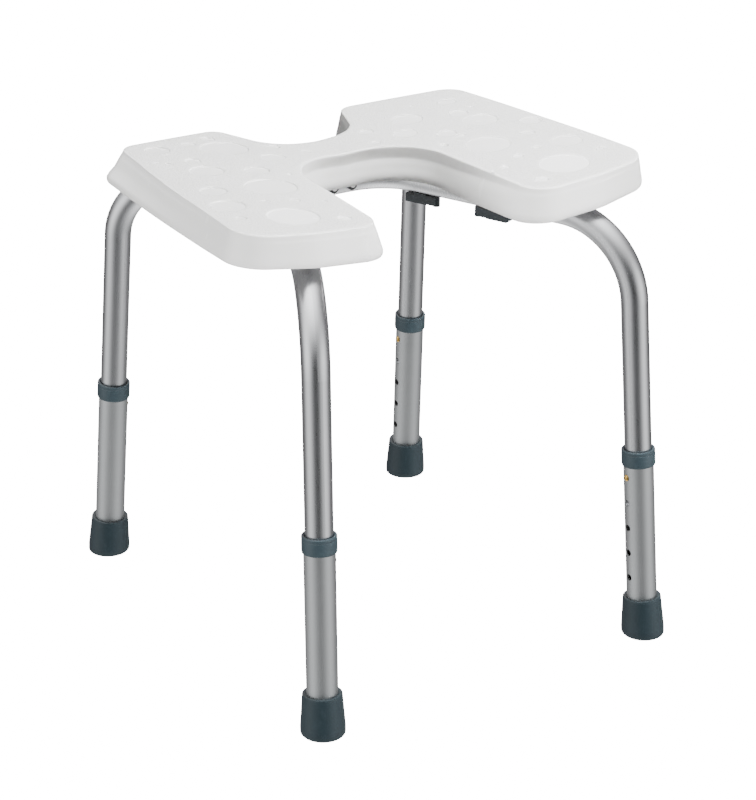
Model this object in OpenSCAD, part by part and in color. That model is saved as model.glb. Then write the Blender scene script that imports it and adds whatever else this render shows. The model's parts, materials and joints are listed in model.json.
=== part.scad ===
// Height-adjustable shower stool with a cut-out seat.
// +X is the right-hand side, +Y the back, +Z up. The origin is on the floor, midway between the four feet.

/* [Seat] */
// Height of the seat's side edges above the floor, at the highest leg setting
seat_height = 452; // [450:1:456]
// Drop of the top surface from the side edges to the middle
seat_dish = 17.5; // [14:0.5:18]
// Thickness of the seat from top to underside
seat_thickness = 32; // [31:0.5:34]
// Wall thickness of the hollow seat
seat_wall = 3; // [2.5:0.25:3.5]
// How far the walls flare out at the cut-out and the notch, below the top edge
seat_flare = 6.5; // [6:0.5:6.5]
// Width of the seat over its top edges
seat_width = 424; // [420:1:430]
// Front edge of the seat, in front of the middle
seat_front = 157; // [155:0.5:160]
// Back edge of the seat's lobes, behind the middle
seat_back = 170; // [168:0.5:173]
// Radius of the round end of the front cut-out
cutout_r = 66; // [65:0.5:67]
// How far behind the middle the front cut-out reaches
cutout_depth = 50; // [48:0.5:50]
// Where the back notch begins, behind the middle
notch_start = 101; // [101:0.5:103]

/* [Frame tubes] */
// Outer diameter of the bent frame tubes
upper_od = 25.4; // [25:0.1:25.4]
// Wall of the frame tubes
upper_wall = 1.5; // [1.2:0.1:1.8]
// Height of the axis of the level part of the tubes
arm_z = 403; // [402:0.5:404]
// Axis radius of the front tube's bends from leg to arm
front_bend_r = 78; // [66:1:80]
// Axis radius of the rear tube's bends from leg to arm
rear_bend_r = 62; // [60:1:76]
// Axis radius of the bends from arm to crossbar
bar_bend_r = 60; // [56:1:62]
// Half distance between the feet across the stool
foot_x = 177.7; // [176:0.1:179]
// Half distance between the feet from front to back
foot_y = 210.4; // [209:0.1:212]
// Inward lean of the legs across the stool, per unit of height
lean_x = 0.0273; // [0.02:0.0001:0.035]
// Inward lean of the legs from front to back, per unit of height
lean_y = 0.0768; // [0.07:0.0001:0.085]

/* [Telescoping legs] */
// Outer diameter of the lower tubes
lower_od = 28.6; // [28.6:0.1:29]
// Wall of the lower tubes
lower_wall = 1.4; // [1.3:0.1:1.4]
// Distance between the height holes
hole_pitch = 25.4; // [25:0.1:25.6]
// Number of height holes in each lower tube
hole_count = 5; // [3:1:5]
// Diameter of the height holes
hole_d = 6.4; // [6.2:0.1:6.6]
// Distance from the floor to the snap button, along the leg
button_s = 162.5; // [162:0.5:164]
// Distance from the floor to the end of the frame tube, along the leg
upper_end_s = 118; // [116:1:120]

/* [Plastic parts] */
// Height of a leg collar
collar_h = 16; // [15:0.5:18]
// Outer diameter of a leg collar
collar_od = 31.8; // [31.6:0.1:34]
// Largest diameter of a foot
foot_od = 41; // [40:0.1:42]
// Height of a foot
foot_h = 39; // [37:0.5:40]
// Height of the seat latches
latch_h = 10.3; // [9:0.1:10.5]
// Length of a latch's finger tab
tab_l = 14; // [12:0.5:16]

/* [Hidden] */
$fn = 64;
far = 600;
half_w = seat_width / 2;
slope = seat_dish / half_w;
top_mid_z = seat_height - seat_dish;
low_mid_z = top_mid_z - seat_thickness;
tube_r = upper_od / 2;
channel_gap = 0.5;
channel_end_s = 300;
tube_gap = 0.4;
bend_skin = 0.05;
bend_lap = 1;

// The two crossbars lie side by side under the bridge between the cut-out and the notch
bridge_y = (cutout_depth + notch_start) / 2 + 2;
front_bar_y = bridge_y - tube_r - tube_gap / 2;
back_bar_y = bridge_y + tube_r + tube_gap / 2;
bar_corner_x = 57;

// Latches: distance from the tube axis to the pivot, and the underside of the tubes
latch_off = 22;
tube_low_z = arm_z - tube_r;
latch_top_z = tube_low_z - 0.5;
latch_low_z = latch_top_z - latch_h;
latch_hub_r = 8.5;
latch_reach = 25;
latch_root = 4;
latch_half_w = 11;
screw_r = 2.5;
screw_clear = 0.08;
screw_head_r = 4.6;
screw_head_h = 3;
screw_top_z = arm_z + 3;
boss_r = 7;
boss_deep = 14;
latch_gap = 0.2;

// Cross bolts: the nuts are at the front and the heads at the back, in pockets under the seat
bolt_x = 10;
bolt_r = 3;
bolt_clear = 0.2;
bolt_past_nut = 1.4;
head_h = 4;
hex_af = 10;
washer_t = 1;
washer_r = 6;
nut_h = 4;
pocket_r = 7;
pocket_skin = 1.5;

// Snap buttons, measured outwards from the leg's axis
upper_id = upper_od - 2 * upper_wall;
lower_id = lower_od - 2 * lower_wall;
button_r = 3;
button_out = 2.2;
flange_r = 4.2;
flange_top = 10.1;
flange_t = 1.2;
leaf_t = 0.8;
leaf_w = 8;

// ---- Vectors ----

function unit(v) = v / norm(v);
function axis_of(ix, iy) = unit([-ix * lean_x, -iy * lean_y, 1]);
function foot_at(ix, iy) = [ix * foot_x, iy * foot_y, 0];
function leg_point(ix, iy, z) = [ix * (foot_x - lean_x * z), iy * (foot_y - lean_y * z), z];
function flat_of(v, a) = unit(v - a * (v * a));

// A frame with its Z along a, its X as near to v as it can be, and its origin at p
module along(p, a, v) {
    x = flat_of(v, a);
    y = cross(a, x);
    multmatrix([
        [x[0], y[0], a[0], p[0]],
        [x[1], y[1], a[1], p[1]],
        [x[2], y[2], a[2], p[2]],
        [0, 0, 0, 1]
    ])
        children();
}

// The frame of one leg: Z up the leg, X towards the other side of the stool
module at_leg(ix, iy) {
    along(foot_at(ix, iy), axis_of(ix, iy), [-ix, 0, 0]) children();
}

// ---- Bent tubes ----

// Half the turn at point i of a path, and the length that its bend takes off each side
function turn(p, i) = acos(unit(p[i] - p[i - 1]) * unit(p[i + 1] - p[i]));
function setback(p, r, i) = (i == 0 || i == len(p) - 1) ? 0 : r[i] * tan(turn(p, i) / 2);

// A ring or a disc, as a tube's section
module section(r_out, r_in) {
    difference() {
        circle(r = r_out);
        if (r_in > 0) circle(r = r_in);
    }
}

// The straight piece of a tube between point i and the next one of the path p. It reaches a little into its bends.
module pipe_straight(p, r, i, r_out, r_in) {
    way = unit(p[i + 1] - p[i]);
    reach_a = i == 0 ? 0 : bend_lap;
    reach_b = i == len(p) - 2 ? 0 : bend_lap;
    from = p[i] + way * (setback(p, r, i) - reach_a);
    length = norm(p[i + 1] - p[i]) - setback(p, r, i) - setback(p, r, i + 1) + reach_a + reach_b;
    along(from, way, [way[1], way[2], way[0]])
        linear_extrude(height = length) section(r_out, r_in);
}

// The bend of axis radius r[i] at point i, its wall a hair thicker. It turns about an axis through its centre.
module pipe_bend(p, r, i, r_out, r_in) {
    way = unit(p[i] - p[i - 1]);
    side = flat_of(unit(p[i + 1] - p[i]), way);
    start = p[i] - way * setback(p, r, i);
    along(start + side * r[i], cross(-side, way), -side)
        rotate_extrude(angle = turn(p, i))
            translate([r[i], 0]) section(r_out + bend_skin, r_in > 0 ? r_in - bend_skin : 0);
}

module pipe(p, r, r_out, r_in = 0) {
    for (i = [0 : len(p) - 2]) pipe_straight(p, r, i, r_out, r_in);
    for (i = [1 : len(p) - 2]) pipe_bend(p, r, i, r_out, r_in);
}

// Corners of one half of a frame tube: iy is -1 for the front tube and 1 for the rear one
function half_path(ix, iy, bar_y, end_s) = [
    foot_at(ix, iy) + axis_of(ix, iy) * end_s,
    leg_point(ix, iy, arm_z),
    [ix * bar_corner_x, bar_y, arm_z]
];
function tube_path(iy, bar_y, end_s) = concat(
    half_path(1, iy, bar_y, end_s),
    [for (i = [2 : -1 : 0]) half_path(-1, iy, bar_y, end_s)[i]]
);
function tube_radii(iy) =
    let (r = iy < 0 ? front_bend_r : rear_bend_r)
    [0, r, bar_bend_r, bar_bend_r, r, 0];

module frame_tube(iy, bar_y) {
    difference() {
        pipe(tube_path(iy, bar_y, upper_end_s), tube_radii(iy), tube_r, upper_id / 2);
        for (ix = [-1, 1]) {
            at_leg(ix, iy) translate([0, 0, button_s]) rotate([0, 90, 0]) cylinder(d = hole_d, h = tube_r + 2);
            translate([ix * bolt_x, bar_y, arm_z]) rotate([90, 0, 0])
                cylinder(r = bolt_r + bolt_clear, h = upper_od + 2, center = true);
        }
    }
}

module front_tube() {
    color([0.76, 0.77, 0.79]) frame_tube(-1, front_bar_y);
}

module rear_tube() {
    color([0.76, 0.77, 0.79]) frame_tube(1, back_bar_y);
}

// ---- Seat ----

// One side of the seat's outline, from the back notch round to the front cut-out, at the top edge
// and at the widest place of the walls. Each entry is a corner and the radius that rounds it.
top_half = [
    [45, notch_start, 36],
    [69, seat_back, 14],
    [half_w - 27, seat_back - 26.5, 26],
    [half_w - 11, 20, 2000],
    [half_w + 1.5, -seat_front + 14.5, 32],
    [149, -seat_front + 4.5, 70],
    [cutout_r + 14.5, -seat_front + 4.5, 28],
    [cutout_r + 2, cutout_depth, cutout_r]
];
wide_half = [
    [42, notch_start + 5.5, 31],
    [66, seat_back + 6, 19],
    [half_w - 9, seat_back - 23, 30],
    [half_w + 1, 20, 2000],
    [half_w + 6, -seat_front + 17, 34],
    [149, -seat_front - 0.5, 70],
    [cutout_r + 6, -seat_front - 0.5, 32],
    [cutout_r + 2.5 - seat_flare, cutout_depth - seat_flare, cutout_r - 5]
];

// The outline between those two, by a share from 0 at the top edge to 1 at the widest place
function half_between(share) = [for (i = [0 : len(top_half) - 1]) top_half[i] * (1 - share) + wide_half[i] * share];
function outline(share) =
    let (half = half_between(share))
    concat(half, [for (i = [len(half) - 1 : -1 : 0]) [-half[i][0], half[i][1], half[i][2]]]);

// Points on the arc that rounds corner i of the list c
function round_corner(c, i, steps) =
    let (
        n = len(c),
        here = [c[i][0], c[i][1]],
        a = unit([c[(i + n - 1) % n][0], c[(i + n - 1) % n][1]] - here),
        b = unit([c[(i + 1) % n][0], c[(i + 1) % n][1]] - here),
        half = acos(a * b) / 2,
        mid = unit(a + b),
        centre = here + mid * c[i][2] / sin(half),
        start = here + a * c[i][2] / tan(half),
        sweep = 180 - 2 * half,
        dir = (a[0] * b[1] - a[1] * b[0]) > 0 ? -1 : 1,
        from = atan2(start[1] - centre[1], start[0] - centre[0])
    )
    [for (k = [0 : steps]) centre + c[i][2] * [cos(from + dir * sweep * k / steps), sin(from + dir * sweep * k / steps)]];

module seat_outline(share) {
    corners = outline(share);
    polygon([for (i = [0 : len(corners) - 1]) each round_corner(corners, i, 7)]);
}

// The space between two V-shaped surfaces that follow the seat's dish
module dished_slab(low, high) {
    rotate([90, 0, 0]) linear_extrude(height = 2 * far, center = true)
        polygon([
            [0, low], [far, low + slope * far], [far, high + slope * far],
            [0, high], [-far, high + slope * far], [-far, low + slope * far]
        ]);
}

// A band of the seat between two heights at the middle, at one share of the walls' flare
module seat_band(share, low, high) {
    intersection() {
        translate([0, 0, seat_height - 100]) linear_extrude(height = 140) seat_outline(share);
        dished_slab(low, high);
    }
}

// The same, drawn in by the wall's thickness, for the hollow
module hollow_band(share, low, high) {
    intersection() {
        translate([0, 0, seat_height - 100]) linear_extrude(height = 140)
            offset(delta = -seat_wall) seat_outline(share);
        dished_slab(low, high);
    }
}

// Pockets under the bridge for the nuts and the bolt heads
module bolt_pockets(grow) {
    front = cutout_depth - seat_flare + pocket_skin;
    for (ix = [-1, 1]) {
        translate([ix * bolt_x, front_bar_y, arm_z]) rotate([90, 0, 0])
            cylinder(r = pocket_r + grow, h = front_bar_y - front);
        translate([ix * bolt_x, back_bar_y, arm_z]) rotate([-90, 0, 0]) cylinder(r = pocket_r + grow, h = 30);
        translate([ix * bolt_x, back_bar_y, arm_z]) rotate([90, 0, 0])
            cylinder(r = bolt_r + bolt_clear + grow, h = back_bar_y - front_bar_y);
    }
}

module seat_channels(clear) {
    pipe(tube_path(-1, front_bar_y, channel_end_s), tube_radii(-1), tube_r + clear);
    pipe(tube_path(1, back_bar_y, channel_end_s), tube_radii(1), tube_r + clear);
}

// Where the latches turn: on the front tube's arms at two places, and on the rear tube's arms
function arm_way(iy, bar_y) = let (p = half_path(1, iy, bar_y, 0)) unit(p[1] - p[2]);
function latch_spot(iy, bar_y, s) = [bar_corner_x, bar_y, 0] + arm_way(iy, bar_y) * s;
latches = [
    // which tube, its crossbar, distance along the arm, side of the finger tab
    [1, back_bar_y, 46, 1],
    [-1, front_bar_y, 36.5, 1],
    [-1, front_bar_y, 126, -1]
];
function latch_pivot(l) = latch_spot(l[0], l[1], l[2]) + latch_side(l) * latch_off;
function latch_side(l) = let (w = arm_way(l[0], l[1])) (w[1] < 0 ? [-w[1], w[0], 0] : [w[1], -w[0], 0]);

// The walls' flare, as bands: share of the flare, and the depths below the top where a band begins and ends
wall_bands = [
    [0, 0, 6],
    [0.4, 6, 10],
    [0.65, 10, 15],
    [0.85, 15, 20],
    [1, 20, 28],
    [0.9, 28, seat_thickness]
];

// A post or a hole of radius r at each latch's pivot, between two heights
module at_pivots(r, low, high) {
    for (ix = [-1, 1], l = latches)
        translate([ix * latch_pivot(l)[0], latch_pivot(l)[1], low]) cylinder(r = r, h = high - low);
}

module seat() {
    color([0.93, 0.93, 0.92]) difference() {
        union() {
            for (b = wall_bands) seat_band(b[0], top_mid_z - b[2], top_mid_z - b[1]);
            at_pivots(boss_r, latch_top_z + latch_gap, low_mid_z + boss_deep);
        }
        seat_channels(channel_gap);
        bolt_pockets(0);
        // the hollow inside, clear of the channels, the pockets and the bosses
        difference() {
            union() {
                hollow_band(0, top_mid_z - 15, top_mid_z - seat_wall);
                hollow_band(0.65, low_mid_z + seat_wall, top_mid_z - 15);
            }
            seat_channels(channel_gap + seat_wall);
            bolt_pockets(seat_wall);
            at_pivots(boss_r, low_mid_z, seat_height);
        }
        at_pivots(screw_r, latch_top_z, screw_top_z);
    }
}

// ---- Seat latches ----

// A turn latch about its own pivot: X is the way in under the tube, and the tab points to +Y
module latch_shape() {
    difference() {
        union() {
            cylinder(r = latch_hub_r, h = latch_h);
            translate([latch_root, -latch_half_w, 0]) cube([latch_reach - latch_root, 2 * latch_half_w, latch_h]);
            translate([latch_reach - 5, latch_half_w - 1, 0.5]) cube([5, tab_l - 2, latch_h - 1.5]);
            translate([latch_reach - 3.5, latch_half_w + tab_l - 3.5, 0]) cylinder(r = 3.5, h = latch_h - 1);
        }
        // the lowered corner beside the tube, and the pivot hole
        translate([latch_hub_r, -latch_half_w - 1, latch_h - 2.3]) cube([latch_reach, latch_half_w, 5]);
        translate([0, 0, -1]) cylinder(r = screw_r + screw_clear, h = latch_h + 2);
    }
}

module latch(ix, l) {
    pivot = latch_pivot(l);
    way_in = -latch_side(l);
    // the tab points forwards or backwards along the tube, so its side flips with the tube's way
    flip = l[3] * (cross(way_in, [0, -1, 0])[2] > 0 ? 1 : -1);
    color([0.24, 0.28, 0.3])
        mirror([ix < 0 ? 1 : 0, 0, 0])
            along([pivot[0], pivot[1], latch_low_z], [0, 0, 1], way_in)
                mirror([0, flip < 0 ? 1 : 0, 0]) latch_shape();
}

module latch_screws() {
    color([0.7, 0.71, 0.72])
        for (ix = [-1, 1], l = latches)
            translate([ix * latch_pivot(l)[0], latch_pivot(l)[1], latch_low_z - screw_head_h - latch_gap]) {
                cylinder(r = screw_head_r, h = screw_head_h);
                cylinder(r = screw_r, h = screw_head_h + latch_h + 14);
            }
}

// ---- Bolts through the two crossbars ----

front_face_y = front_bar_y - tube_r;
back_face_y = back_bar_y + tube_r;

// A hexagonal nut or head of height h about +Z
module hexagon(h) {
    cylinder(d = hex_af / cos(30), h = h, $fn = 6);
}

// Each bolt points forwards, with its head behind the rear crossbar
module cross_bolts() {
    grip = back_face_y - front_face_y + 2 * washer_t + nut_h;
    color([0.78, 0.79, 0.8])
        for (ix = [-1, 1]) translate([ix * bolt_x, back_face_y + washer_t, arm_z]) rotate([90, 0, 0]) {
            translate([0, 0, -head_h]) hexagon(head_h);
            cylinder(r = bolt_r, h = grip + bolt_past_nut);
        }
}

module cross_washers() {
    color([0.7, 0.71, 0.72])
        for (ix = [-1, 1], y = [front_face_y, back_face_y + washer_t])
            translate([ix * bolt_x, y, arm_z]) rotate([90, 0, 0]) difference() {
                cylinder(r = washer_r, h = washer_t);
                translate([0, 0, -1]) cylinder(r = bolt_r, h = washer_t + 2);
            }
}

module cross_nuts() {
    color([0.2, 0.21, 0.22])
        for (ix = [-1, 1])
            translate([ix * bolt_x, front_face_y - washer_t, arm_z]) rotate([90, 0, 0]) difference() {
                hexagon(nut_h);
                translate([0, 0, -1]) cylinder(r = bolt_r, h = nut_h + 2);
            }
}

// ---- Telescoping legs ----

lower_start_s = 9;
lower_top_s = button_s + 24;
collar_s = lower_top_s + 3 - collar_h;

module lower_tube(ix, iy) {
    color([0.72, 0.73, 0.75]) at_leg(ix, iy) difference() {
        translate([0, 0, lower_start_s]) cylinder(d = lower_od, h = lower_top_s - lower_start_s);
        cylinder(d = lower_id, h = far);
        for (k = [0 : hole_count - 1])
            translate([0, 0, button_s - k * hole_pitch]) rotate([0, 90, 0]) cylinder(d = hole_d, h = lower_od);
    }
}

module collar(ix, iy) {
    edge = 0.5;
    color([0.27, 0.33, 0.36]) at_leg(ix, iy) translate([0, 0, collar_s]) difference() {
        rotate_extrude() polygon([
            [0, 0], [collar_od / 2 - edge, 0], [collar_od / 2, edge],
            [collar_od / 2, collar_h - 2 * edge], [collar_od / 2 - edge, collar_h], [0, collar_h]
        ]);
        translate([0, 0, -1]) cylinder(d = lower_od, h = collar_h - 3 + 1);
        translate([0, 0, -1]) cylinder(d = lower_id, h = collar_h + 2);
    }
}

module foot(ix, iy) {
    edge = 3;
    top_r = 18;
    wide_s = 7;
    color([0.21, 0.26, 0.29]) intersection() {
        at_leg(ix, iy) difference() {
            rotate_extrude() {
                polygon([
                    [0, edge], [foot_od / 2, edge], [foot_od / 2, wide_s],
                    [top_r, foot_h - 1], [top_r - 1, foot_h], [0, foot_h]
                ]);
                translate([0, -4]) square([foot_od / 2 - edge, 4 + 2 * edge]);
                translate([foot_od / 2 - edge, edge]) circle(r = edge);
            }
            translate([0, 0, lower_start_s - 1.5]) cylinder(d = lower_od, h = far);
            translate([0, 0, -5]) cylinder(r = 11, h = 7);
        }
        translate([-far, -far, 0]) cube([2 * far, 2 * far, far]);
    }
}

module foot_washer(ix, iy) {
    color([0.62, 0.63, 0.65]) at_leg(ix, iy) translate([0, 0, lower_start_s - 1.5]) difference() {
        cylinder(d = lower_od, h = 1.5);
        translate([0, 0, -1]) cylinder(r = 5, h = 4);
    }
}

// The button, pointing to +X of the leg's frame
module snap_button(ix, iy) {
    tip = lower_od / 2 + button_out;
    color([0.8, 0.62, 0.3]) at_leg(ix, iy) translate([0, 0, button_s]) rotate([0, 90, 0]) {
        translate([0, 0, flange_top - flange_t]) cylinder(r = flange_r, h = flange_t);
        translate([0, 0, flange_top]) cylinder(r = button_r, h = tip - 1.6 - flange_top);
        translate([0, 0, tip - 1.6]) rotate_extrude() intersection() {
            scale_r = (button_r * button_r + 1.6 * 1.6) / (2 * 1.6);
            translate([0, 1.6 - scale_r]) circle(r = scale_r);
            square([button_r, 1.6]);
        }
    }
}

// The V-shaped leaf spring: one arm carries the button, the other bears on the far wall
module button_spring(ix, iy) {
    top = flange_top - flange_t;
    back = -(upper_id / 2) + 1;
    low = -34;
    color([0.68, 0.69, 0.71]) at_leg(ix, iy) translate([0, leaf_w / 2, button_s]) rotate([90, 0, 0])
        linear_extrude(height = leaf_w) polygon([
            [top, 7], [top, -7], [1.6, low], [0.4, low - 1.2], [-1.2, low - 1.2], [-2.4, low],
            [back, 10], [back + leaf_t, 10.2], [-1.6, low + 0.6], [-0.9, low], [0.1, low], [0.8, low + 0.6],
            [top - leaf_t, -6.8], [top - leaf_t, 7]
        ]);
}

seat();
front_tube();
rear_tube();
cross_bolts();
cross_washers();
cross_nuts();
latch_screws();
latch(-1, latches[0]);  // latch_rear_left
latch(1, latches[0]);  // latch_rear_right
latch(-1, latches[1]);  // latch_middle_left
latch(1, latches[1]);  // latch_middle_right
latch(-1, latches[2]);  // latch_front_left
latch(1, latches[2]);  // latch_front_right
lower_tube(-1, -1);  // lower_tube_front_left
lower_tube(1, -1);  // lower_tube_front_right
lower_tube(-1, 1);  // lower_tube_back_left
lower_tube(1, 1);  // lower_tube_back_right
collar(-1, -1);  // collar_front_left
collar(1, -1);  // collar_front_right
collar(-1, 1);  // collar_back_left
collar(1, 1);  // collar_back_right
foot(-1, -1);  // foot_front_left
foot(1, -1);  // foot_front_right
foot(-1, 1);  // foot_back_left
foot(1, 1);  // foot_back_right
foot_washer(-1, -1);  // foot_washer_front_left
foot_washer(1, -1);  // foot_washer_front_right
foot_washer(-1, 1);  // foot_washer_back_left
foot_washer(1, 1);  // foot_washer_back_right
snap_button(-1, -1);  // snap_button_front_left
snap_button(1, -1);  // snap_button_front_right
snap_button(-1, 1);  // snap_button_back_left
snap_button(1, 1);  // snap_button_back_right
button_spring(-1, -1);  // button_spring_front_left
button_spring(1, -1);  // button_spring_front_right
button_spring(-1, 1);  // button_spring_back_left
button_spring(1, 1);  // button_spring_back_right
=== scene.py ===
import bpy, math
import numpy as np
from mathutils import Vector, Matrix
from mathutils.geometry import delaunay_2d_cdt
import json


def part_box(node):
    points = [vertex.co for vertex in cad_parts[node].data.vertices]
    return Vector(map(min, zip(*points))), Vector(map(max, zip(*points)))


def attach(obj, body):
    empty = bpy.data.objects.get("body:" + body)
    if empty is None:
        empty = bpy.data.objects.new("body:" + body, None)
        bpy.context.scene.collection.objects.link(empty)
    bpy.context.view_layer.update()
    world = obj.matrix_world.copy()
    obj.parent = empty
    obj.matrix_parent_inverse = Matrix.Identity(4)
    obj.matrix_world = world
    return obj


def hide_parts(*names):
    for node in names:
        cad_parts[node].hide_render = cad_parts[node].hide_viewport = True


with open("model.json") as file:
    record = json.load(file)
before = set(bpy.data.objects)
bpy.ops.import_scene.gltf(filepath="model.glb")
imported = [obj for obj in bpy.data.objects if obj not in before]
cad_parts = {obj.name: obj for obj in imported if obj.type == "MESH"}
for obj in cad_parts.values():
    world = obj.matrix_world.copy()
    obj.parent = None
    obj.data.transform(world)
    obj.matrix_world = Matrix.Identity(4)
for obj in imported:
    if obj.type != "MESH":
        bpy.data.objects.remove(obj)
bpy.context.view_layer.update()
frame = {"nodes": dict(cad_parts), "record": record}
MM = 0.001
CORNERS = (("front_left", -1, -1), ("front_right", 1, -1), ("back_left", -1, 1), ("back_right", 1, 1))


# ---------------------------------------------------------------- node helpers
class Nodes:
    """A small builder for a material's node tree."""

    def __init__(self, name):
        self.mat = bpy.data.materials.new(name)
        self.mat.use_nodes = True
        self.tree = self.mat.node_tree
        self.tree.nodes.clear()
        self.out = self.tree.nodes.new("ShaderNodeOutputMaterial")
        self.bsdf = self.tree.nodes.new("ShaderNodeBsdfPrincipled")
        self.link(self.bsdf.outputs[0], self.out.inputs[0])

    def link(self, a, b):
        self.tree.links.new(a, b)

    def new(self, kind, **props):
        n = self.tree.nodes.new("ShaderNode" + kind)
        for k, v in props.items():
            setattr(n, k, v)
        return n

    def put(self, node, **inputs):
        for k, v in inputs.items():
            s = node.inputs[k.replace("_", " ")]
            if isinstance(v, bpy.types.NodeSocket):
                self.link(v, s)
            else:
                s.default_value = v
        return node

    def coords(self, scale=(1, 1, 1)):
        tc = self.new("TexCoord")
        mp = self.new("Mapping")
        mp.inputs["Scale"].default_value = scale
        self.link(tc.outputs["Object"], mp.inputs["Vector"])
        return mp.outputs["Vector"]

    def noise(self, vec, scale, detail=4.0, rough=0.55, distortion=0.0):
        n = self.new("TexNoise")
        self.put(n, Vector=vec, Scale=scale, Detail=detail, Roughness=rough, Distortion=distortion)
        return n.outputs["Fac"]

    def voronoi(self, vec, scale, feature="F1"):
        n = self.new("TexVoronoi", feature=feature)
        self.put(n, Vector=vec, Scale=scale)
        return n.outputs["Distance"]

    def ramp(self, fac, stops):
        n = self.new("ValToRGB")
        e = n.color_ramp.elements
        while len(e) < len(stops):
            e.new(0.5)
        for el, (p, c) in zip(e, stops):
            el.position = p
            el.color = (c, c, c, 1) if isinstance(c, (int, float)) else (*c, 1)
        self.link(fac, n.inputs["Fac"])
        return n.outputs["Color"]

    def span(self, fac, low, high, f0=0.0, f1=1.0):
        n = self.new("MapRange")
        self.put(n, Value=fac)
        for k, v in (("From Min", f0), ("From Max", f1), ("To Min", low), ("To Max", high)):
            n.inputs[k].default_value = v
        return n.outputs["Result"]

    def math(self, op, a, b=None):
        n = self.new("Math", operation=op)
        for i, v in enumerate((a, b)):
            if v is None:
                continue
            if isinstance(v, bpy.types.NodeSocket):
                self.link(v, n.inputs[i])
            else:
                n.inputs[i].default_value = v
        return n.outputs[0]

    def mix(self, fac, a, b):
        n = self.new("Mix", data_type="RGBA")
        for s, v in ((n.inputs[0], fac), (n.inputs[6], a), (n.inputs[7], b)):
            if isinstance(v, bpy.types.NodeSocket):
                self.link(v, s)
            else:
                s.default_value = v if isinstance(v, (int, float)) else (*v, 1)
        return n.outputs[2]

    def attribute(self, name):
        n = self.new("Attribute", attribute_name=name)
        return n.outputs["Fac"]

    def bump(self, height, strength, distance, normal=None):
        n = self.new("Bump")
        self.put(n, Height=height, Strength=strength, Distance=distance)
        if normal is not None:
            self.link(normal, n.inputs["Normal"])
        return n.outputs["Normal"]


# ---------------------------------------------------------------- materials
def seat_plastic():
    m = Nodes("seat_plastic")
    v = m.coords()
    cloud = m.noise(v, 14, 3)
    pebble = m.attribute("pebble")
    disc = m.attribute("disc")
    base = m.ramp(cloud, [(0.3, (0.745, 0.743, 0.733)), (0.7, (0.765, 0.763, 0.753))])
    # moulded pebbles a little over a millimetre across, only where the top isn't smooth; the colour also darkens
    # towards each cell's edge, a painted shade that makes the relief show
    cells = m.voronoi(v, 560, "SMOOTH_F1")
    fine = m.noise(v, 1500, 2)
    grain = m.math("MULTIPLY", m.math("ADD", cells, m.math("MULTIPLY", fine, 0.4)), pebble)
    pebble_painted_shade = m.math("MULTIPLY", m.span(cells, 0.0, 1.0, 0.2, 0.55), pebble)
    colour = m.mix(m.math("MULTIPLY", pebble_painted_shade, 0.4), base, (0.55, 0.55, 0.54))
    # the smooth discs are painted lighter: a painted sheen
    colour = m.mix(m.math("MULTIPLY", disc, 0.95), colour, (0.86, 0.86, 0.855))
    long = m.noise(m.coords((1, 1, 0.35)), 60, 5)
    rough = m.math("ADD", m.span(long, 0.22, 0.3), m.math("MULTIPLY", pebble, 0.14))
    m.put(m.bsdf, Base_Color=colour, Roughness=rough)
    m.bsdf.inputs["IOR"].default_value = 1.48
    m.bsdf.inputs["Subsurface Weight"].default_value = 0.12
    m.bsdf.inputs["Subsurface Radius"].default_value = (0.004, 0.004, 0.0035)
    m.bsdf.inputs["Subsurface Scale"].default_value = 1.0
    ripple = m.bump(m.noise(v, 22, 2), 0.12, 0.004)
    m.link(m.bump(grain, 1.0, 0.0008, ripple), m.bsdf.inputs["Normal"])
    return m.mat


def aluminium(name, base, rough, streak):
    """Drawn and anodised tube: fine upright streaks, faint clouds and small marks."""
    m = Nodes(name)
    v = m.coords()
    lines = m.noise(m.coords((1, 1, 0.02)), 900, 3, 0.6)
    cloud = m.noise(v, 18, 4)
    speck = m.voronoi(v, 330)
    dust = m.ramp(speck, [(0.02, 1.0), (0.06, 0.0)])
    colour = m.mix(cloud, [c * 0.93 for c in base], [min(1, c * 1.04) for c in base])
    colour = m.mix(m.math("MULTIPLY", lines, streak), colour, [c * 0.8 for c in base])
    r = m.math("ADD", m.span(lines, rough - 0.05, rough + 0.07), m.math("MULTIPLY", cloud, 0.06))
    m.put(m.bsdf, Base_Color=colour, Roughness=m.math("ADD", r, m.math("MULTIPLY", dust, 0.1)))
    m.bsdf.inputs["Metallic"].default_value = 1.0
    m.link(m.bump(lines, 0.015, 0.0001), m.bsdf.inputs["Normal"])
    return m.mat


def moulded(name, base, rough, grain=1600, strength=0.25, sheen=0.0):
    """Injection-moulded plastic or rubber: a fine matte grain, with slight clouds and rubbed spots."""
    m = Nodes(name)
    v = m.coords()
    cloud = m.noise(v, 70, 4)
    rub = m.ramp(m.noise(v, 160, 6, 0.7), [(0.52, 0.0), (0.66, 1.0)])
    colour = m.mix(cloud, [c * 0.86 for c in base], [c * 1.12 for c in base])
    colour = m.mix(m.math("MULTIPLY", rub, 0.18), colour, [min(1, c * 1.7 + 0.01) for c in base])
    r = m.math("ADD", m.span(cloud, rough - 0.05, rough + 0.05), m.math("MULTIPLY", rub, 0.06))
    m.put(m.bsdf, Base_Color=colour, Roughness=r)
    m.bsdf.inputs["Sheen Weight"].default_value = sheen
    m.link(m.bump(m.voronoi(v, grain), strength, 0.00015), m.bsdf.inputs["Normal"])
    return m.mat


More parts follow.
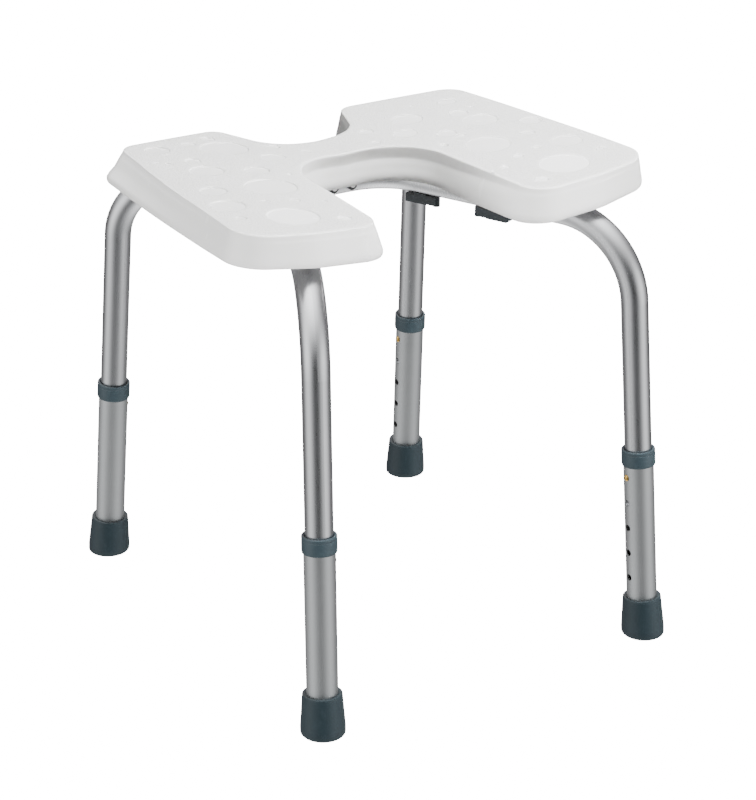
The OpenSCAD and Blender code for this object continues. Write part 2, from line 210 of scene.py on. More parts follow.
def steel(name, base, rough, turned=True):
    """Plated steel: faint turning rings or rolling lines and small dark pits."""
    m = Nodes(name)
    v = m.coords()
    fine = m.noise(m.coords((1, 0.1, 1) if turned else (0.1, 1, 1)), 2200, 3)
    cloud = m.noise(v, 240, 4)
    colour = m.mix(cloud, [c * 0.86 for c in base], base)
    m.put(m.bsdf, Base_Color=colour, Roughness=m.span(fine, rough - 0.06, rough + 0.08))
    m.bsdf.inputs["Metallic"].default_value = 1.0
    m.link(m.bump(fine, 0.1, 0.0001), m.bsdf.inputs["Normal"])
    return m.mat


def brass():
    m = Nodes("button_brass")
    v = m.coords()
    cloud = m.noise(v, 420, 5)
    tarnish = m.ramp(m.noise(v, 900, 4, 0.7), [(0.45, 0.0), (0.75, 1.0)])
    colour = m.mix(cloud, (0.50, 0.30, 0.07), (0.66, 0.43, 0.13))
    colour = m.mix(m.math("MULTIPLY", tarnish, 0.35), colour, (0.26, 0.15, 0.04))
    m.put(m.bsdf, Base_Color=colour, Roughness=m.span(cloud, 0.16, 0.3))
    m.bsdf.inputs["Metallic"].default_value = 1.0
    m.link(m.bump(m.noise(v, 3000, 2), 0.05, 0.0001), m.bsdf.inputs["Normal"])
    return m.mat


def floor_white():
    """A pale studio floor. The object is lit by the studio's own light from below, as by a bright sweep."""
    m = Nodes("floor_white")
    v = m.coords()
    colour = m.mix(m.noise(v, 3, 3), (0.9, 0.9, 0.9), (0.92, 0.92, 0.92))
    m.put(m.bsdf, Base_Color=colour, Roughness=0.8)
    m.bsdf.inputs["Emission Color"].default_value = (1, 1, 1, 1)
    m.bsdf.inputs["Emission Strength"].default_value = 16.0
    clear = m.new("BsdfTransparent")
    mix = m.new("MixShader")
    # seen by the camera from above only, so a view from below shows the underside
    above = m.math("SUBTRACT", 1.0, m.new("NewGeometry").outputs["Backfacing"])
    m.link(m.math("MULTIPLY", m.new("LightPath").outputs["Is Camera Ray"], above), mix.inputs[0])
    m.link(clear.outputs[0], mix.inputs[1])
    m.link(m.bsdf.outputs[0], mix.inputs[2])
    m.link(mix.outputs[0], m.out.inputs[0])
    return m.mat


MATS = {
    "seat_plastic": seat_plastic(),
    "frame_aluminium": aluminium("frame_aluminium", (0.70, 0.71, 0.73), 0.25, 0.12),
    "leg_aluminium": aluminium("leg_aluminium", (0.58, 0.60, 0.61), 0.44, 0.15),
    "bolt_steel": steel("bolt_steel", (0.72, 0.72, 0.71), 0.22),
    "nut_black": moulded("nut_black", (0.016, 0.017, 0.018), 0.35),
    "screw_steel": steel("screw_steel", (0.66, 0.66, 0.67), 0.28),
    "latch_plastic": moulded("latch_plastic", (0.016, 0.021, 0.025), 0.4),
    "collar_plastic": moulded("collar_plastic", (0.022, 0.034, 0.041), 0.42),
    "foot_rubber": moulded("foot_rubber", (0.0085, 0.0155, 0.0195), 0.5, 1200, 0.3, 0.03),
    "washer_steel": steel("washer_steel", (0.6, 0.6, 0.62), 0.35),
    "button_brass": brass(),
    "spring_steel": steel("spring_steel", (0.4, 0.41, 0.43), 0.3, False),
}


def paint_cad_nodes():
    slots = {s["node"]: s["material_slot"] for s in frame["record"]["subparts"]}
    for name, obj in frame["nodes"].items():
        obj.data.materials.clear()
        obj.data.materials.append(MATS[slots[name]])
        if name.startswith("latch_") and name != "latch_screws":
            soften(obj, 0.0007)


def soften(obj, width):
    """Rounds the sharp edges of a moulded piece."""
    mod = obj.modifiers.new("soft_edges", "BEVEL")
    mod.width = width
    mod.segments = 3
    mod.limit_method = "ANGLE"
    mod.angle_limit = math.radians(40)
    mod.harden_normals = False


# ---------------------------------------------------------------- the seat
HALF_W = 212.0
FRONT, BACK, NOTCH, CUT, CUT_R, FLARE = 157.0, 170.0, 101.0, 50.0, 66.0, 6.5
THICK = 32.0
# One side of the outline, as corners with their radii: at the top edge, and where the walls are widest
TOP_HALF = [
    (45, NOTCH, 36), (69, BACK, 14), (HALF_W - 27, BACK - 26.5, 26), (HALF_W - 11, 20, 2000),
    (HALF_W + 1.5, -FRONT + 14.5, 32), (149, -FRONT + 4.5, 70), (CUT_R + 14.5, -FRONT + 4.5, 28),
    (CUT_R + 2, CUT, CUT_R),
]
WIDE_HALF = [
    (42, NOTCH + 5.5, 31), (66, BACK + 6, 19), (HALF_W - 9, BACK - 23, 30), (HALF_W + 1, 20, 2000),
    (HALF_W + 6, -FRONT + 17, 34), (149, -FRONT - 0.5, 70), (CUT_R + 6, -FRONT - 0.5, 32),
    (CUT_R + 2.5 - FLARE, CUT - FLARE, CUT_R - 5),
]
# Moulded bubbles: x, y and radius in mm
BUBBLES = [
    (-156, 121, 12), (-94, 106, 23), (-93, 141, 7.5), (-118, 130, 6.5), (-142, 78, 7.5), (-146, 44, 16),
    (-66, 63, 12), (-49, 95, 7.5), (-103, 29, 12), (-171, -14, 12.5), (-117, -21, 24), (-181, -58, 16),
    (-188, -94, 5), (-144, -59, 4.5), (-118, -65, 5), (-26, 70, 5), (-176, 82, 2.4), (-168, 77, 2.4),
    (-81, 7, 2.4), (-94, -76, 2.4), (98, 91, 15.5), (75, 58, 12), (50, 88, 7.5), (41, 57, 5.5), (156, 109, 9),
    (145, 72, 9.5), (150, 42, 17), (104, 31, 9.5), (110, 16, 5.5), (116, -21, 21.5), (84, 5, 4.5), (185, 9, 10.5),
    (162, -19, 7.5), (177, -61, 15), (145, -58, 4.5), (188, -99, 4.5), (165, 80, 2.4), (79, -84, 2.4),
    (123, 121, 2.4),
]
# The smooth discs, which the seat's colour paints lighter as a painted sheen
BRIGHT = [
    (-143, -105, 23.5), (-103, -124, 6.5), (119, -65, 5.5), (94, -81, 4.5), (140, -108, 23.5), (102, -127, 6.5),
]
# How deep the bubbles are, the radius under which they are shallower, and the spacing of the meshes' inner points
SINK = 1.1
SMALL_BUBBLE_R = 4
TOP_GRID, UNDER_GRID = 2.9, 5.0

# The frame tubes' plan in mm: the crossbars' y by tube, the corners at arm and leg, and the bend between them
BAR_Y = {-1: 64.6, 1: 90.4}
BAR_CORNER_X, BAR_BEND_R = 57.0, 60.0
LEG_X, LEG_Y = 166.7, 179.45
ARM_Z, CHANNEL_R = 403.0, 13.2
BOLT_X, POCKET_R, POCKET_FRONT = 10.0, 7.0, CUT - FLARE + 1.5


def one_arc(before, here, after, steps):
    """Points on the arc that rounds the corner here; each corner is (x, y, radius)."""
    p = np.array(here[:2], float)
    a = np.array(before[:2], float) - p
    b = np.array(after[:2], float) - p
    a /= np.linalg.norm(a)
    b /= np.linalg.norm(b)
    half = math.acos(max(-1, min(1, a @ b))) / 2
    c = p + (a + b) / np.linalg.norm(a + b) * here[2] / math.sin(half)
    s = p + a * here[2] / math.tan(half)
    turn = (math.pi - 2 * half) * (-1 if a[0] * b[1] - a[1] * b[0] > 0 else 1)
    start = math.atan2(s[1] - c[1], s[0] - c[0])
    angles = [start + turn * k / steps for k in range(steps + 1)]
    return [c + here[2] * np.array([math.cos(t), math.sin(t)]) for t in angles]


def corner_arcs(corners, steps=40):
    """The rounded outline as one list of points, the same number on each corner."""
    n = len(corners)
    return np.array([p for i in range(n) for p in one_arc(corners[i - 1], corners[i], corners[(i + 1) % n], steps)])


def paired_outlines(step=2.2):
    """The top outline as evenly spaced points, the matching points of the widest one, and outward normals."""
    top = corner_arcs(mirrored(TOP_HALF))
    wide = corner_arcs(mirrored(WIDE_HALF))
    both = np.hstack([top, wide])
    loop = np.vstack([both, both[:1]])
    seg = np.linalg.norm(np.diff(loop[:, :2], axis=0), axis=1)
    s = np.concatenate([[0], np.cumsum(seg)])
    m = int(s[-1] / step) // 2 * 2
    t = np.linspace(0, s[-1], m, endpoint=False)
    even = np.stack([np.interp(t, s, loop[:, k]) for k in range(4)], axis=1)
    line, low = even[:, :2], even[:, 2:]
    tang = np.roll(line, -2, axis=0) - np.roll(line, 2, axis=0)
    tang /= np.linalg.norm(tang, axis=1)[:, None]
    area = np.sum(line[:, 0] * np.roll(line[:, 1], -1) - np.roll(line[:, 0], -1) * line[:, 1])
    out = np.stack([tang[:, 1], -tang[:, 0]], axis=1) * (1 if area > 0 else -1)
    return line, low, out


def mirrored(half):
    return half + [(-x, y, r) for x, y, r in reversed(half)]


def dish(x, y):
    """Height of the seat's top surface, in mm, before bubbles: a soft V that sags a little at the side edges."""
    u = np.hypot(x, 10.0) / 212.5
    sag = 1.8 * np.exp(-(((y - 20) / 80) ** 2)) * np.minimum(np.abs(x) / HALF_W, 1) ** 3
    return 433.3 + 17.9 * u ** 0.85 - 2.1 * (y / 150) - 1.6 * (y / 150) ** 2 - sag


def under(x, y):
    """Height of the seat's underside, in mm, before its channels."""
    return 402.5 + 17.5 * (np.hypot(x, 10.0) - 4) / 212.0 - 1.05 * (y / 150) + 1.0 * smooth(-60, -150, y)


def smooth(e0, e1, v):
    t = np.clip((v - e0) / (e1 - e0), 0, 1)
    return t * t * (3 - 2 * t)


def bubble_wall(r):
    """Width of a bubble's sloping wall, in mm."""
    return 0.9 if r > SMALL_BUBBLE_R else 0.7


def bubble_depth(x, y):
    """How far the top is sunk at a point, and the masks for the pebbles and for the discs' painted sheen."""
    sink = np.zeros_like(x)
    peb = np.ones_like(x)
    disc = np.zeros_like(x)
    for k, (cx, cy, r) in enumerate(BUBBLES + BRIGHT):
        d = np.hypot(x - cx, y - cy)
        wall = bubble_wall(r)
        sink = np.maximum(sink, SINK * (0.7 if r < SMALL_BUBBLE_R else 1) * (1 - smooth(r - wall, r, d)))
        peb = np.minimum(peb, smooth(r - 0.2, r + 0.8, d))
        if k >= len(BUBBLES):
            disc = np.maximum(disc, 1 - smooth(r - 0.6, r, d))
    return sink, peb, disc


def cdt_cap(loop, extra, constraints, spacing, keep_away):
    """Triangulates the inside of a loop with a grid of points, plus rings given as closed constraints."""
    lo, hi = loop.min(axis=0), loop.max(axis=0)
    gx = np.arange(lo[0] + spacing / 2, hi[0], spacing)
    gy = np.arange(lo[1] + spacing / 2, hi[1], spacing * 0.866)
    pts = []
    for j, y in enumerate(gy):
        pts.append(np.stack([gx + (spacing / 2 if j % 2 else 0), np.full_like(gx, y)], axis=1))
    pts = np.vstack(pts)
    pts = pts[inside(pts, loop, spacing * 0.6)]
    for cx, cy, r0, r1 in keep_away:
        d = np.hypot(pts[:, 0] - cx, pts[:, 1] - cy)
        pts = pts[(d < r0) | (d > r1)]
    verts = [loop]
    edges = []
    n = len(loop)
    edges += [(i, (i + 1) % n) for i in range(n)]
    base = n
    for ring in constraints:
        verts.append(ring)
        edges += [(base + i, base + (i + 1) % len(ring)) for i in range(len(ring))]
        base += len(ring)
    verts += [pts] + ([extra] if len(extra) else [])
    allv = np.vstack(verts)
    out = delaunay_2d_cdt([Vector(p) for p in allv], edges, [list(range(n))], 1, 1e-5)
    v2 = np.array([tuple(p) for p in out[0]])
    origin = {}
    for i, ids in enumerate(out[3]):
        for k in ids:
            origin[k] = i
    return v2, out[2], [origin[i] for i in range(n)]


def inside(p, loop, margin):
    """Which points lie inside the loop and at least margin from it."""
    x, y = p[:, 0], p[:, 1]
    hit = np.zeros(len(p), bool)
    near = np.full(len(p), 1e9)
    for a, b in zip(loop, np.roll(loop, -1, axis=0)):
        cross = (a[1] > y) != (b[1] > y)
        dy = b[1] - a[1]
        if abs(dy) > 1e-12:
            hit ^= cross & (x < (b[0] - a[0]) * (y - a[1]) / dy + a[0])
        ab = b - a
        t = np.clip(((x - a[0]) * ab[0] + (y - a[1]) * ab[1]) / (ab @ ab), 0, 1)
        near = np.minimum(near, np.hypot(x - a[0] - t * ab[0], y - a[1] - t * ab[1]))
    return hit & (near > margin)


def tube_plan(iy):
    """The plan path of a frame tube's axis, as points in mm, with its bends."""
    bar_y, leg_y = BAR_Y[iy], LEG_Y * iy
    p = [np.array(q) for q in ([LEG_X, leg_y], [BAR_CORNER_X, bar_y], [-BAR_CORNER_X, bar_y], [-LEG_X, leg_y])]
    out = [p[0]]
    for i in (1, 2):
        a = (p[i - 1] - p[i]) / np.linalg.norm(p[i - 1] - p[i])
        b = (p[i + 1] - p[i]) / np.linalg.norm(p[i + 1] - p[i])
        half = math.acos(a @ b) / 2
        r = BAR_BEND_R
        c = p[i] + (a + b) / np.linalg.norm(a + b) * r / math.sin(half)
        s, e = p[i] + a * r / math.tan(half), p[i] + b * r / math.tan(half)
        t0, t1 = math.atan2(*(s - c)[::-1]), math.atan2(*(e - c)[::-1])
        d = (t1 - t0 + math.pi) % (2 * math.pi) - math.pi
        out += [c + r * np.array([math.cos(t0 + d * k / 16), math.sin(t0 + d * k / 16)]) for k in range(17)]
    out.append(p[3])
    return np.array(out)


def dist_to_path(x, y, path):
    best = np.full(np.shape(x), 1e9)
    for a, b in zip(path[:-1], path[1:]):
        ab = b - a
        t = np.clip(((x - a[0]) * ab[0] + (y - a[1]) * ab[1]) / (ab @ ab), 0, 1)
        best = np.minimum(best, np.hypot(x - a[0] - t * ab[0], y - a[1] - t * ab[1]))
    return best


def underside(x, y):
    z = under(x, y)
    for iy in (-1, 1):
        d = dist_to_path(x, y, tube_plan(iy))
        cut = ARM_Z + np.sqrt(np.maximum(CHANNEL_R ** 2 - d ** 2, 0))
        z = np.where(d < CHANNEL_R, np.maximum(z, cut), z)
    # pockets for the nuts in front of the crossbars and for the bolt heads behind them
    for bx in (-BOLT_X, BOLT_X):
        d = np.abs(x - bx)
        here = (d < POCKET_R) & (((y > POCKET_FRONT) & (y < 64)) | ((y > 90) & (y < 120)))
        z = np.where(here, np.maximum(z, ARM_Z + np.sqrt(np.maximum(POCKET_R ** 2 - d ** 2, 0))), z)
    return z


def wall_profile(step, groove):
    """Points down the wall: share of the flare, outward distance and drop.

    In the cut-out (groove 1) a plain band of the height step comes first. Elsewhere (0) the wall slopes evenly.
    """
    rim = [(-1.3, -0.06), (-0.75, -0.2), (-0.35, -0.48), (-0.1, -0.85), (0.0, -1.4)]
    stepped = [
        (0, 0.0, -2.4), (0.0, -0.05, -step * 0.6), (0.01, 0.0, -step * 0.85), (0.04, 0.1, -step),
        (0.10, 0.2, -step - 0.8), (0.18, 0.2, -step - 1.8), (0.30, 0.2, -step - 3.4), (0.48, 0.2, -step - 6),
        (0.72, 0.1, -step - 10.5), (0.90, 0, -24.0), (1.0, 0, -27.5),
    ]
    foot_of_wall = [
        (1.0, -0.05, -29.6), (1.0, -0.3, -30.7), (0.995, -0.8, -31.5), (0.99, -1.5, -31.9), (0.985, -2.3, -32.0),
    ]
    rows = [(0.0, out, drop) for out, drop in rim]
    for share, out, drop in stepped:
        even = (-drop - 1.4) / 26.1
        rows.append((share * groove + even * (1 - groove), out, drop))
    return rows + foot_of_wall


def mesh_object(name, verts, faces, mat):
    me = bpy.data.meshes.new(name)
    me.from_pydata([tuple(v) for v in verts], [], faces)
    me.validate()
    me.materials.append(mat)
    me.polygons.foreach_set("use_smooth", [True] * len(me.polygons))
    me.update()
    ob = bpy.data.objects.new(name, me)
    bpy.context.scene.collection.objects.link(ob)
    return ob


def seat():
    line, low, normal = paired_outlines()
    n = len(line)
    in_cut = (np.abs(line[:, 0]) < 90) & (line[:, 1] < 62) & (line[:, 1] > -151)
    step = 6.0 + 5.5 * smooth(-150, 20, line[:, 1]) * in_cut
    rows = []
    heights = []
    groove = in_cut * smooth(-150, -60, line[:, 1])
    profiles = np.array([wall_profile(s, g) for s, g in zip(step, groove)])
    count = profiles.shape[1]
    for k in range(count):
        d = profiles[:, k]
        thin = np.where((np.abs(line[:, 0]) < 24) & (line[:, 1] > 0) & (d[:, 2] < -26), 0.3, 1.0)
        rows.append(line + (low - line) * d[:, :1] + normal * d[:, 1:2] * thin[:, None])
        heights.append(d[:, 2])
    # top cap
    rings, away = [], []
    for cx, cy, r in BUBBLES + BRIGHT:
        wall = bubble_wall(r)
        m = max(14, int(2 * math.pi * r / 1.5))
        a = np.arange(m) * 2 * math.pi / m
        for k, q in enumerate((r + 0.35, r, r - wall * 0.5, r - wall, r - wall - 0.35)):
            t = a + (math.pi / m if k % 2 else 0)
            rings.append(np.stack([cx + q * np.cos(t), cy + q * np.sin(t)], axis=1))
        away.append((cx, cy, r - wall - 1.6, r + 1.7))
    v2, tris, top_ids = cdt_cap(rows[0], [], rings, TOP_GRID, away)
    sink, peb, disc = bubble_depth(v2[:, 0], v2[:, 1])
    z = dish(v2[:, 0], v2[:, 1]) + np.where(np.isin(np.arange(len(v2)), top_ids), -0.06, 0) - sink
    verts = [np.stack([v2[:, 0], v2[:, 1], z], axis=1)]
    edge_gap = peb * smooth(1.0, 4.0, edge_distance(v2, line))
    pebble, disc_sheen = [edge_gap], [disc]
    faces = [tuple(f) for f in tris]
    base = len(v2)
    ids = [np.array(top_ids)]
    for k in range(1, count):
        p = rows[k]
        top_part = dish(line[:, 0], line[:, 1]) + heights[k]
        low_part = under(p[:, 0], p[:, 1]) + (heights[k] + THICK)
        w = smooth(-14, -26, heights[k])
        verts.append(np.stack([p[:, 0], p[:, 1], top_part * (1 - w) + low_part * w], axis=1))
        pebble.append(np.zeros(n))
        disc_sheen.append(np.zeros(n))
        ids.append(np.arange(base, base + n))
        base += n
    ccw = np.sum(line[:, 0] * np.roll(line[:, 1], -1) - np.roll(line[:, 0], -1) * line[:, 1]) > 0
    for a, b in zip(ids[:-1], ids[1:]):
        for i in range(n):
            j = (i + 1) % n
            q = (a[i], b[i], b[j], a[j])
            faces.append(tuple(int(t) for t in (q if ccw else q[::-1])))
    # underside, with a channel for each frame tube
    rail = []
    for iy in (-1, 1):
        path = tube_plan(iy)
        d = np.gradient(path, axis=0)
        d /= np.linalg.norm(d, axis=1)[:, None]
        side = np.stack([-d[:, 1], d[:, 0]], axis=1)
        dense = []
        for a, b in zip(range(len(path) - 1), range(1, len(path))):
            m = max(1, int(np.linalg.norm(path[b] - path[a]) / 4))
            for t in np.arange(m) / m:
                dense.append((path[a] * (1 - t) + path[b] * t, side[a] * (1 - t) + side[b] * t))
        for off in (-13.6, -13.15, -12.6, -10.5, -6, 0, 6, 10.5, 12.6, 13.15, 13.6):
            rail.append(np.array([p + s * off for p, s in dense]))
    for bx in (-BOLT_X, BOLT_X):
        for dx in (-7.2, -6.9, -6.3, -5, -2.5, 0, 2.5, 5, 6.3, 6.9, 7.2):
            for y in (45.0, 45.6, 46.5, 48.0, 50.0, 104.5, 105.5):
                rail.append(np.array([[bx + dx, y]]))
    rail = np.vstack(rail)
    rail = rail[inside(rail, rows[-1], 0.5)]
    v3, tris3, low_ids = cdt_cap(rows[-1], rail, [], UNDER_GRID, [])
    z3 = underside(v3[:, 0], v3[:, 1])
    remap = {}
    for i, k in enumerate(low_ids):
        remap[k] = int(ids[-1][i])
    new = [i for i in range(len(v3)) if i not in remap]
    for i in new:
        remap[i] = base
        base += 1
    verts.append(np.stack([v3[new, 0], v3[new, 1], z3[new]], axis=1))
    pebble.append(np.zeros(len(new)))
    disc_sheen.append(np.zeros(len(new)))
    faces += [tuple(remap[k] for k in reversed(f)) for f in tris3]
    verts = np.vstack(verts) * MM
    ob = mesh_object("seat_shell", verts, faces, MATS["seat_plastic"])
    for name, data in (("pebble", pebble), ("disc", disc_sheen)):
        at = ob.data.attributes.new(name, "FLOAT", "POINT")
        at.data.foreach_set("value", np.concatenate(data).astype(np.float32))
    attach(ob, "frame")
    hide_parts("seat")


def edge_distance(p, line):
    out = np.full(len(p), 1e9)
    for a, b in zip(line, np.roll(line, -1, axis=0)):
        ab = b - a
        t = np.clip(((p[:, 0] - a[0]) * ab[0] + (p[:, 1] - a[1]) * ab[1]) / (ab @ ab), 0, 1)
        out = np.minimum(out, np.hypot(p[:, 0] - a[0] - t * ab[0], p[:, 1] - a[1] - t * ab[1]))
    return out


# ---------------------------------------------------------------- turned pieces
def leg_matrix(corner):
    """The frame of one leg in mm: Z up the leg, X towards the other side of the stool, origin on the floor."""
    joint = {j["name"]: j for j in frame["record"]["behaviour"]["joints"]}["leg_height_" + corner]
    a = Vector(joint["axis"]).normalized()
    lo, hi = (Vector(p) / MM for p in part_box("lower_tube_" + corner))
    centre = (lo + hi) / 2
    side = Vector((-centre.x, 0, 0))
    x = (side - a * side.dot(a)).normalized()
    m = Matrix((x, a.cross(x), a)).transposed().to_4x4()
    m.translation = centre - a * (centre.z / a.z)
    return m


def facing(at, axis, turn=0.0):
    """A frame in mm at a point, with its Z along axis."""
    m = Vector(axis).to_track_quat("Z", "Y").to_matrix().to_4x4() @ Matrix.Rotation(turn, 4, "Z")
    m.translation = Vector(at)
    return m


def lathe_mesh(rings, count):
    """Vertices and faces of a closed turned solid; each ring is a function of the angle that gives (r, z)."""
    verts, faces, ids = [], [], []
    for ring in rings:
        first = ring(0.0)
        if first[0] < 1e-6:
            ids.append([len(verts)] * count)
            verts.append((0, 0, first[1]))
            continue
        ids.append(list(range(len(verts), len(verts) + count)))
        for k in range(count):
            a = 2 * math.pi * k / count
            r, z = ring(a)
            verts.append((r * math.cos(a), r * math.sin(a), z))
    pairs = list(zip(ids, ids[1:] + ids[:1]))
    for a, b in pairs:
        for i in range(count):
            j = (i + 1) % count
            q = []
            for v in (a[i], a[j], b[j], b[i]):
                if v not in q:
                    q.append(v)
            if len(q) > 2:
                faces.append(tuple(q))
    return verts, faces


def round_rings(corners, steps=4):
    """Rings of a turned outline from corners (r, z, rounding), listed so that the solid lies on their left."""
    return [lambda a, p=tuple(p): p for p in open_arcs(corners, steps)]


def open_arcs(corners, steps):
    """A closed outline's points, with each corner rounded by its own radius; a zero radius stays sharp."""
    pts = []
    n = len(corners)
    for i in range(n):
        x, y, r = corners[i]
        if r == 0:
            pts.append((x, y))
            continue
        pts += [tuple(p) for p in one_arc(corners[i - 1], corners[i], corners[(i + 1) % n], steps)]
    return pts


def piece(name, parts, body, mat, nodes, bend=None):
    """One object from several (matrix, verts, faces) parts in mm, riding on a body in place of CAD nodes."""
    verts, faces = [], []
    for m, vs, fs in parts:
        base = len(verts)
        verts += [tuple((m @ Vector(v) if bend is None else bend(m, v)) * MM) for v in vs]
        faces += [tuple(base + i for i in f) for f in fs]
    ob = mesh_object(name, verts, faces, MATS[mat])
    ob.data.set_sharp_from_angle(angle=math.radians(38))
    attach(ob, body)
    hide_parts(*nodes)


def foot(corner):
    """A rubber ferrule: straight taper, soft shoulder and a ringed sole that lies flat on the floor."""
    bore, washer_s, top_s = 14.35, 7.5, 39.0
    outline = [
        (0, 2.0, 0), (11, 2.0, 0.3), (11.3, 0, 0.3),
        (13.4, 0, 0.2), (13.6, 1.0, 0.2), (14.6, 1.0, 0.2), (14.8, 0, 0.2),
        (16.0, 0, 0.2), (16.2, 1.0, 0.2), (17.2, 1.0, 0.2), (17.4, 0, 0.2),
        (20.4, 0, 2.4), (20.5, 7, 8), (18.3, 36.5, 4), (18.0, top_s, 0.9), (bore, top_s, 0.6),
        (bore, washer_s, 0), (0, washer_s, 0),
    ]
    flat_s = 9.0

    def bend(m, v):
        """Near the floor the rings turn level, so the sole lies flat."""
        tilted = m @ Vector(v)
        axis_point = m @ Vector((0, 0, v[2]))
        across = (tilted - axis_point)
        level = Vector((across.x, across.y, 0))
        if level.length > 0:
            level *= across.length / level.length
        w = float(smooth(0, flat_s, max(0.0, v[2])))
        return axis_point + level * (1 - w) + across * w

    vs, fs = lathe_mesh(round_rings(outline, 5), 96)
    piece("foot_body_" + corner, [(leg_matrix(corner), vs, fs)], "leg_" + corner, "foot_rubber",
          ["foot_" + corner], bend=bend)


def collar(corner):
    """The collar pressed over the top of a lower tube, with a rolled lip round the frame tube."""
    lo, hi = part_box("collar_" + corner)
    m = leg_matrix(corner)
    mid = (Vector(lo) + Vector(hi)) / 2 / MM
    s0 = (m.inverted() @ mid).z - 8.0
    outline = [
        (14.35, 0, 0.3), (15.6, 0, 0.4), (15.9, 1.6, 0.5), (15.9, 11.8, 0.6), (15.6, 12.3, 0.3), (15.6, 12.9, 0.3),
        (15.9, 13.3, 0.5), (15.85, 15.0, 0.7), (15.2, 16, 0.6), (13.6, 16, 0.5), (12.95, 15.2, 0.4),
        (12.95, 13.1, 0.2), (14.35, 13.0, 0.2),
    ]
    vs, fs = lathe_mesh(round_rings(outline, 4), 96)
    vs = [(x, y, z + s0) for x, y, z in vs]
    piece("collar_ring_" + corner, [(m, vs, fs)], "leg_" + corner, "collar_plastic", ["collar_" + corner])


def hex_rings(across_flats, z0, z1, chamfer=0.9):
    """Rings of a hexagon whose corners are turned off at the z1 end."""
    flat = across_flats / 2

    def radius(a):
        return flat / math.cos((a + math.pi / 6) % (math.pi / 3) - math.pi / 6)

    way = 1 if z1 > z0 else -1
    rings = [lambda a: (radius(a), z0)]
    for k in range(6):
        drop = chamfer * (1 - k / 5)
        limit = flat * 0.985 + drop * 1.5
        rings.append(lambda a, lim=limit, d=drop: (min(radius(a), lim), z1 - way * d))
    return rings


def hexagon(z0, z1, hole=0.0, across_flats=10.0):
    """A hexagonal nut or head from z0 to its chamfered end z1, with a round hole through it or none."""
    rings = hex_rings(across_flats, z0, z1)
    end = [(hole + 0.5, z1), (hole, z1 - math.copysign(0.5, z1 - z0)), (hole, z0)] if hole else [(0, z1), (0, z0)]
    rings += [lambda a, p=p: p for p in end]
    if z1 < z0:
        rings = rings[::-1]
    return lathe_mesh(rings, 96)


def threaded(z0, z1, r=3.0, pitch=1.0, core=2.55):
    """A bolt's shank with thread ridges, from z0 to its pointed end z1."""
    prof = [(0, z0, 0), (r, z0, 0)]
    start = z0 + 2
    n = int((z1 - 0.5 - start) / pitch)
    for k in range(n):
        z = start + k * pitch
        prof += [(core, z + 0.12, 0), (core, z + 0.3, 0), (r, z + 0.62, 0), (r, z + 0.8, 0)]
    prof += [(core, z1, 0), (0, z1, 0)]
    return lathe_mesh([lambda a, p=p: p[:2] for p in prof], 48)


def crossbar_fixings():
    """Two bolts through both crossbars, each with a hexagonal head, two washers and a nut."""
    (lo, hi) = (Vector(p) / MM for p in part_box("cross_nuts"))
    (bolt_lo, bolt_hi) = (Vector(p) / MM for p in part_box("cross_bolts"))
    (wash_lo, wash_hi) = (Vector(p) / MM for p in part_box("cross_washers"))
    z = (lo.z + hi.z) / 2
    hex_r = 10 / math.cos(math.pi / 6) / 2
    xs = (lo.x + hex_r, hi.x - hex_r)
    bolts, nuts, washers = [], [], []
    for k, x in enumerate(xs):
        m = facing((x, bolt_hi.y, z), (0, -1, 0), 0.4 + 0.9 * k)
        length = bolt_hi.y - bolt_lo.y
        vs, fs = hexagon(3.95, 0.0)
        bolts.append((m, vs, fs))
        vs, fs = threaded(3.9, length)
        bolts.append((m, vs, fs))
        n = facing((x, hi.y, z), (0, -1, 0), 0.2 + 0.7 * k)
        vs, fs = hexagon(0.0, hi.y - lo.y, hole=3.05)
        nuts.append((n, vs, fs))
        for y0, way in ((wash_lo.y + 1.0, -1), (wash_hi.y - 1.0, 1)):
            rim = round_rings([(3.1, 0, 0.15), (6.0, 0, 0.2), (6.0, 1.0, 0.35), (3.1, 1.0, 0.3)], 3)
            vs, fs = lathe_mesh(rim, 64)
            washers.append((facing((x, y0, z), (0, way, 0)), vs, fs))
    piece("crossbar_bolts", bolts, "frame", "bolt_steel", ["cross_bolts"])
    piece("crossbar_nuts", nuts, "frame", "nut_black", ["cross_nuts"])
    piece("crossbar_washers", washers, "frame", "washer_steel", ["cross_washers"])


# ---------------------------------------------------------------- stage, light and camera
def stage():
    me = bpy.data.meshes.new("floor")
    half, z = 6.0, -0.0005
    me.from_pydata([(-half, -half, z), (half, -half, z), (half, half, z), (-half, half, z)], [], [(0, 1, 2, 3)])
    me.materials.append(floor_white())
    ob = bpy.data.objects.new("floor", me)
    bpy.context.scene.collection.objects.link(ob)


def area_light(name, at, to, size, power):
    """A soft light that no glossy surface mirrors; the world's broad lights do that."""
    d = bpy.data.lights.new(name, "AREA")
    d.shape = "RECTANGLE"
    d.size, d.size_y = size
    d.energy = power
    o = bpy.data.objects.new(name, d)
    o.location = at
    o.rotation_euler = (Vector(to) - Vector(at)).to_track_quat("-Z", "Y").to_euler()
    o.visible_glossy = False
    bpy.context.scene.collection.objects.link(o)


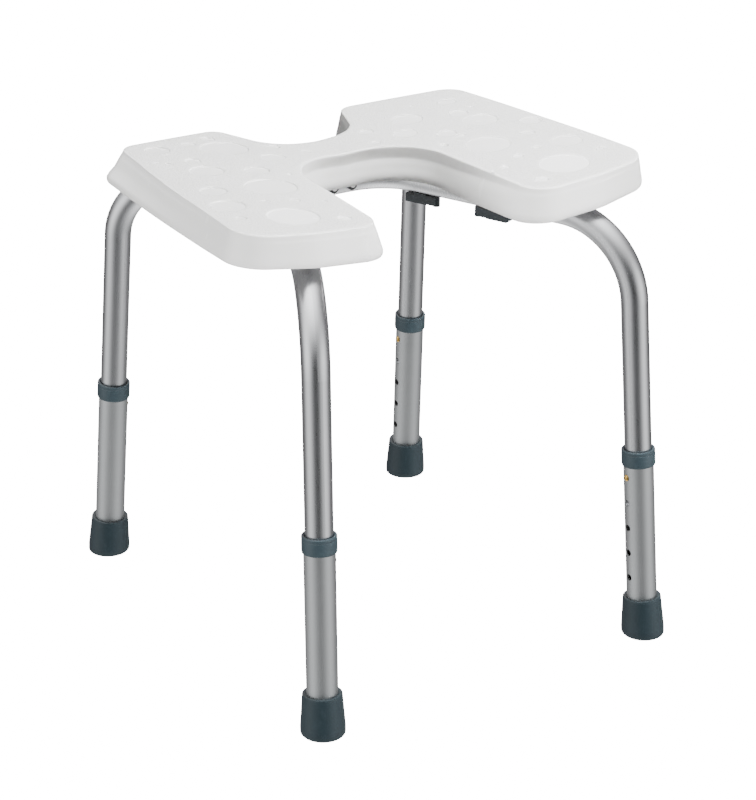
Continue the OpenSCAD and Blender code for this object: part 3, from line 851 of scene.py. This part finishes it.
def studio_world():
    """A dim studio of the broad lights in STUDIO, with white beyond the set for the camera."""
    w = bpy.data.worlds.new("studio")
    bpy.context.scene.world = w
    w.use_nodes = True
    t = w.node_tree
    t.nodes.clear()

    def new(kind, **props):
        n = t.nodes.new("ShaderNode" + kind)
        for k, v in props.items():
            setattr(n, k, v)
        return n

    way = new("TexCoord").outputs["Generated"]

    def lobe(direction, power, gain):
        d = new("VectorMath", operation="DOT_PRODUCT")
        t.links.new(way, d.inputs[0])
        d.inputs[1].default_value = Vector(direction).normalized()
        c = new("Math", operation="MAXIMUM")
        t.links.new(d.outputs["Value"], c.inputs[0])
        c.inputs[1].default_value = 0.0
        q = new("Math", operation="POWER")
        t.links.new(c.outputs[0], q.inputs[0])
        q.inputs[1].default_value = power
        g = new("Math", operation="MULTIPLY")
        t.links.new(q.outputs[0], g.inputs[0])
        g.inputs[1].default_value = gain
        return g.outputs[0]

    def add(a, b):
        n = new("Math", operation="ADD")
        t.links.new(a, n.inputs[0])
        if isinstance(b, float):
            n.inputs[1].default_value = b
        else:
            t.links.new(b, n.inputs[1])
        return n.outputs[0]

    total = None
    for direction, power, gain in STUDIO:
        v = lobe(direction, power, gain)
        total = v if total is None else add(total, v)
    total = add(total, BASE_LIGHT)
    # mirrored light is full, and scattered light a little weaker
    path = new("LightPath")
    gain = new("MapRange")
    t.links.new(path.outputs["Is Glossy Ray"], gain.inputs["Value"])
    gain.inputs["To Min"].default_value = SOFT_SHARE
    gain.inputs["To Max"].default_value = 1.0
    scaled = new("Math", operation="MULTIPLY")
    t.links.new(total, scaled.inputs[0])
    t.links.new(gain.outputs["Result"], scaled.inputs[1])
    lit = new("Background")
    t.links.new(scaled.outputs[0], lit.inputs["Strength"])
    lit.inputs["Color"].default_value = (1, 1, 1, 1)
    white = new("Background")
    white.inputs["Strength"].default_value = 30
    white.inputs["Color"].default_value = (1, 1, 1, 1)
    mix = new("MixShader")
    t.links.new(new("LightPath").outputs["Is Camera Ray"], mix.inputs[0])
    t.links.new(lit.outputs[0], mix.inputs[1])
    t.links.new(white.outputs[0], mix.inputs[2])
    t.links.new(mix.outputs[0], new("OutputWorld").inputs[0])


# direction, tightness and strength of each broad light in the studio
STUDIO = [
    ((-0.15, 0.1, 1.0), 2.5, 4.0),
    ((-0.99, 0.12, 0.0), 7.0, 1.9),
    ((0.54, -0.84, 0.0), 7.0, 1.9),
    ((0.49, 0.77, 0.3), 3.0, 0.6),
    ((0.0, 0.0, -1.0), 4.0, 2.4),
]
BASE_LIGHT = 0.05
SOFT_SHARE = 0.22


def lights():
    studio_world()
    area_light("key", (0.28, -0.22, 1.6), (0, -0.05, 0.45), (0.5, 0.5), 62)
    area_light("low_left", (-2.4, -1.2, 0.48), (0, 0, 0.42), (1.2, 0.35), 120)
    area_light("low_right", (1.7, -2.0, 0.5), (0, 0, 0.42), (1.2, 0.35), 145)


def camera():
    d = bpy.data.cameras.new("camera")
    d.sensor_fit = "VERTICAL"
    d.sensor_height = 36
    d.lens = 118.48
    d.clip_end = 50
    o = bpy.data.objects.new("camera", d)
    look = Vector((0.48813, 0.77458, -0.40219)).normalized()
    right = look.cross(Vector((0, 0, 1))).normalized()
    up = right.cross(look)
    roll = math.radians(0.395)
    x = math.cos(roll) * right + math.sin(roll) * up
    y = -math.sin(roll) * right + math.cos(roll) * up
    m = Matrix((x, y, -look)).transposed().to_4x4()
    m.translation = Vector((-1.21637, -1.94625, 1.21085))
    o.matrix_world = m
    bpy.context.scene.collection.objects.link(o)
    bpy.context.scene.camera = o


camera()
paint_cad_nodes()
seat()
for corner, _, _ in CORNERS:
    foot(corner)
    collar(corner)
crossbar_fixings()
stage()
lights()
